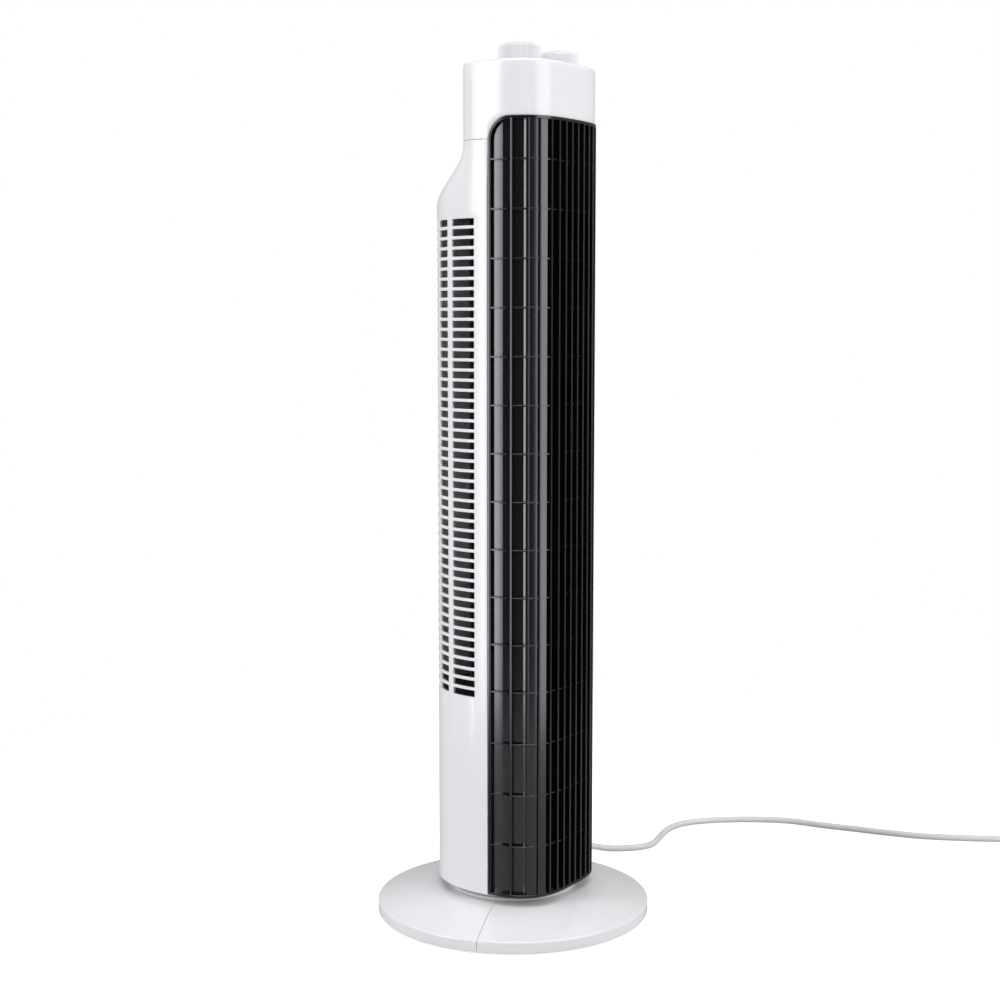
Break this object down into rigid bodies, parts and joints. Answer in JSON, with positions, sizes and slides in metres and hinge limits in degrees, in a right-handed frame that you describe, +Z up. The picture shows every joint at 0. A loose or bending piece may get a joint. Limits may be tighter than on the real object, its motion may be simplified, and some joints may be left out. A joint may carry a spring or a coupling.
{
  "type": "tower fan",
  "caption": "Slim upright tower fan with a black slatted outlet, slotted rear intake, turn knobs on top and a round base on which the column swings.",
  "frame": {"origin": "on the floor under the column's swing axis, at the centre of the round base", "axes": "+Z up along the column and its swing axis, -Y the way the column faces at rest, +X to the column's left as it faces"},
  "size_m": [0.65, 0.5639, 0.7352],
  "materials": {
    "gloss_white": "moulded white ABS, glossy",
    "cap_white": "moulded white ABS, glossy",
    "knob_white": "satin white ABS with fine knurling",
    "gloss_black": "moulded black plastic, semi-gloss",
    "inner_black": "black glass-filled plastic, satin",
    "inner_white": "natural acetal, satin",
    "sheet_steel": "zinc-plated sheet steel",
    "dark_steel": "blackened steel",
    "screw_steel": "zinc-plated screw",
    "pin_brass": "nickel-plated brass pin",
    "rubber": "moulded rubber",
    "cord_white": "white PVC sheath",
    "switch_grey": "moulded switch body",
    "bush_bronze": "sintered bronze"
  },
  "bodies": {
    "base": {"base_front_half": "gloss_white", "base_rear_half": "gloss_white", "base_joining_plate": "dark_steel", "base_screw_1": "screw_steel", "base_screw_2": "screw_steel", "base_screw_3": "screw_steel", "base_screw_4": "screw_steel", "rubber_foot_1": "rubber", "rubber_foot_2": "rubber", "rubber_foot_3": "rubber", "rubber_foot_4": "rubber", "rubber_foot_5": "rubber", "rubber_foot_6": "rubber", "swivel_seat": "inner_black", "slide_ring": "inner_white", "swivel_retainer": "dark_steel", "base_lead": "cord_white", "cord_gland": "cord_white", "mains_cord": "cord_white", "cord_coil": "cord_white", "cord_tail": "cord_white", "plug_body": "cord_white", "plug_pin_1": "pin_brass", "plug_pin_2": "pin_brass"},
    "tower": {"tower_floor": "inner_black", "swing_motor_bridge": "dark_steel", "swing_motor": "sheet_steel", "rear_housing": "gloss_white", "housing_screw_1": "screw_steel", "housing_screw_2": "screw_steel", "housing_screw_3": "screw_steel", "housing_screw_4": "screw_steel", "lower_bulkhead": "inner_black", "upper_bulkhead": "inner_black", "upper_bush": "bush_bronze", "front_grille": "gloss_black", "duct_wall_left": "inner_black", "duct_wall_right": "inner_black", "motor_stator": "dark_steel", "motor_upper_cover": "sheet_steel", "motor_lower_cover": "sheet_steel", "run_capacitor": "inner_white", "top_cap": "cap_white", "switch_bracket": "dark_steel", "speed_switch": "switch_grey", "timer_unit": "switch_grey", "lead_clamp": "inner_black", "switch_lead": "cord_white"},
    "impeller": {"impeller": "inner_black", "motor_shaft": "sheet_steel", "motor_rotor": "dark_steel"},
    "swing_crank": {"swing_crank": "inner_white"},
    "swing_link": {"swing_link": "sheet_steel"},
    "speed_knob": {"speed_knob": "knob_white"},
    "timer_knob": {"timer_knob": "knob_white"}
  },
  "joints": [
    {"name": "tower_swing", "type": "hinge", "parent": "base", "child": "tower", "pos_m": [0, 0, 0.031], "axis": [0, 0, 1], "range_deg": [-16, 54]},
    {"name": "impeller_spin", "type": "hinge", "parent": "tower", "child": "impeller", "pos_m": [0, 0, 0.4], "axis": [0, 0, 1], "continuous": true},
    {"name": "crank_spin", "type": "hinge", "parent": "tower", "child": "swing_crank", "pos_m": [0, -0.02402, 0.0382], "axis": [0, 0, 1], "continuous": true},
    {"name": "link_pivot", "type": "hinge", "parent": "base", "child": "swing_link", "pos_m": [0.03615, -0.01296, 0.028], "axis": [0, 0, 1], "range_deg": [-44.8, 9]},
    {"name": "speed_turn", "type": "hinge", "parent": "tower", "child": "speed_knob", "pos_m": [-0.029, -0.025, 0.72], "axis": [0, 0, 1], "range_deg": [-120, 0]},
    {"name": "timer_turn", "type": "hinge", "parent": "tower", "child": "timer_knob", "pos_m": [0.029, -0.025, 0.72], "axis": [0, 0, 1], "range_deg": [-300, 0]}
  ]
}
